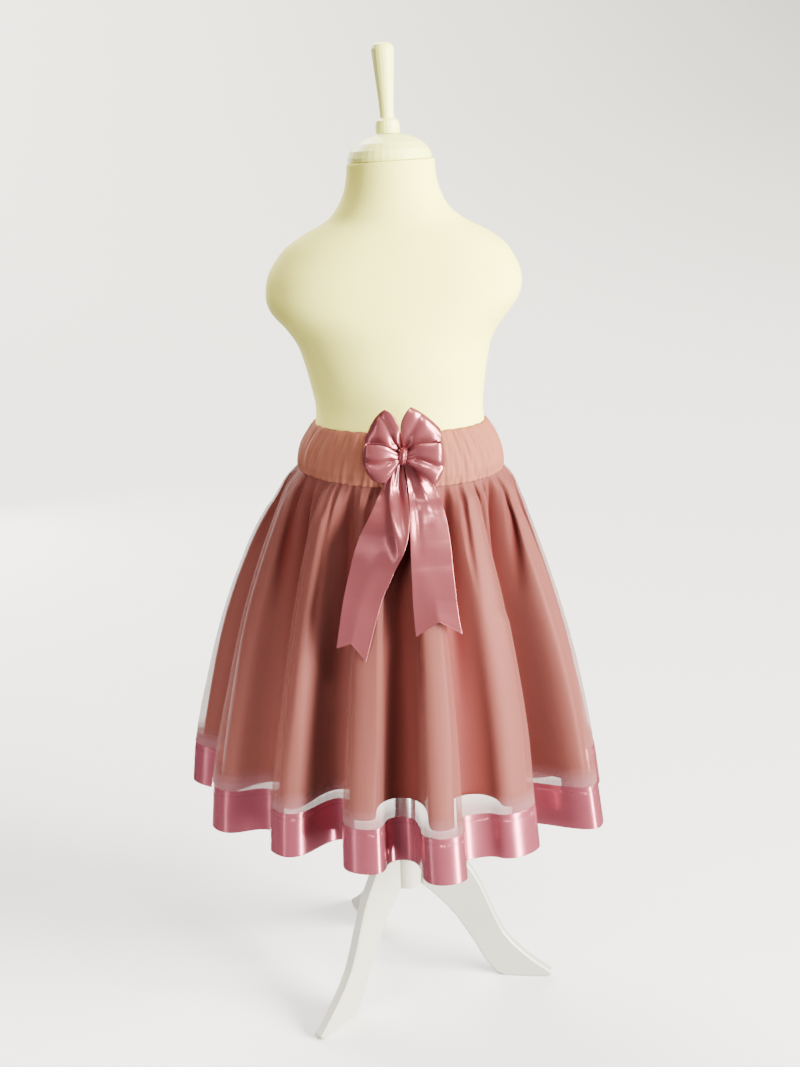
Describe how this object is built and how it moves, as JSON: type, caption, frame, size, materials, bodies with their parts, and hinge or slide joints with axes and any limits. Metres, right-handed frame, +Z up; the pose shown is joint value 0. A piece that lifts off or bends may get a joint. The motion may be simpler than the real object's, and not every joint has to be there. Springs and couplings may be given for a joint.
{
  "type": "tulle skirt on dress form",
  "caption": "Child's gathered tulle skirt with satin lining, satin hem ribbon and waist bow, worn on a limbless dress form with a pole, wooden feet and a turned finial.",
  "frame": {"origin": "on the floor under the middle of the part's bounding box; the pole of the stand stands 10.9 mm towards +X and 12.5 mm towards +Y from it", "axes": "+Z up along the pole, -Y towards the front of the skirt, +X towards the wearer's left as seen on the right from the front"},
  "size_m": [0.4946, 0.3982, 1.0894],
  "materials": {
    "tulle": "fine sheer net in dusty rose",
    "lining_satin": "opaque lining satin in rosy brown",
    "ribbon_satin": "glossy satin ribbon in dusty rose",
    "band_tulle": "gathered elastic waistband in peach rose",
    "form_jersey": "smooth cream jersey over a rigid form",
    "painted_wood": "off-white painted wood, satin",
    "pole_metal": "brushed steel tube"
  },
  "bodies": {
    "root": {"tulle_front": "tulle", "tulle_back": "tulle", "lining_front": "lining_satin", "lining_back": "lining_satin", "waistband": "band_tulle", "hem_ribbon": "ribbon_satin", "bow_knot": "ribbon_satin", "bow_loop_side_left": "ribbon_satin", "bow_loop_side_right": "ribbon_satin", "bow_loop_upper_left": "ribbon_satin", "bow_loop_upper_right": "ribbon_satin", "bow_tail_left": "ribbon_satin", "bow_tail_right": "ribbon_satin", "form_body": "form_jersey", "neck_cap": "painted_wood", "finial": "painted_wood", "hub": "painted_wood", "leg_1": "painted_wood", "leg_2": "painted_wood", "leg_3": "painted_wood", "pole": "pole_metal"}
  },
  "joints": []
}
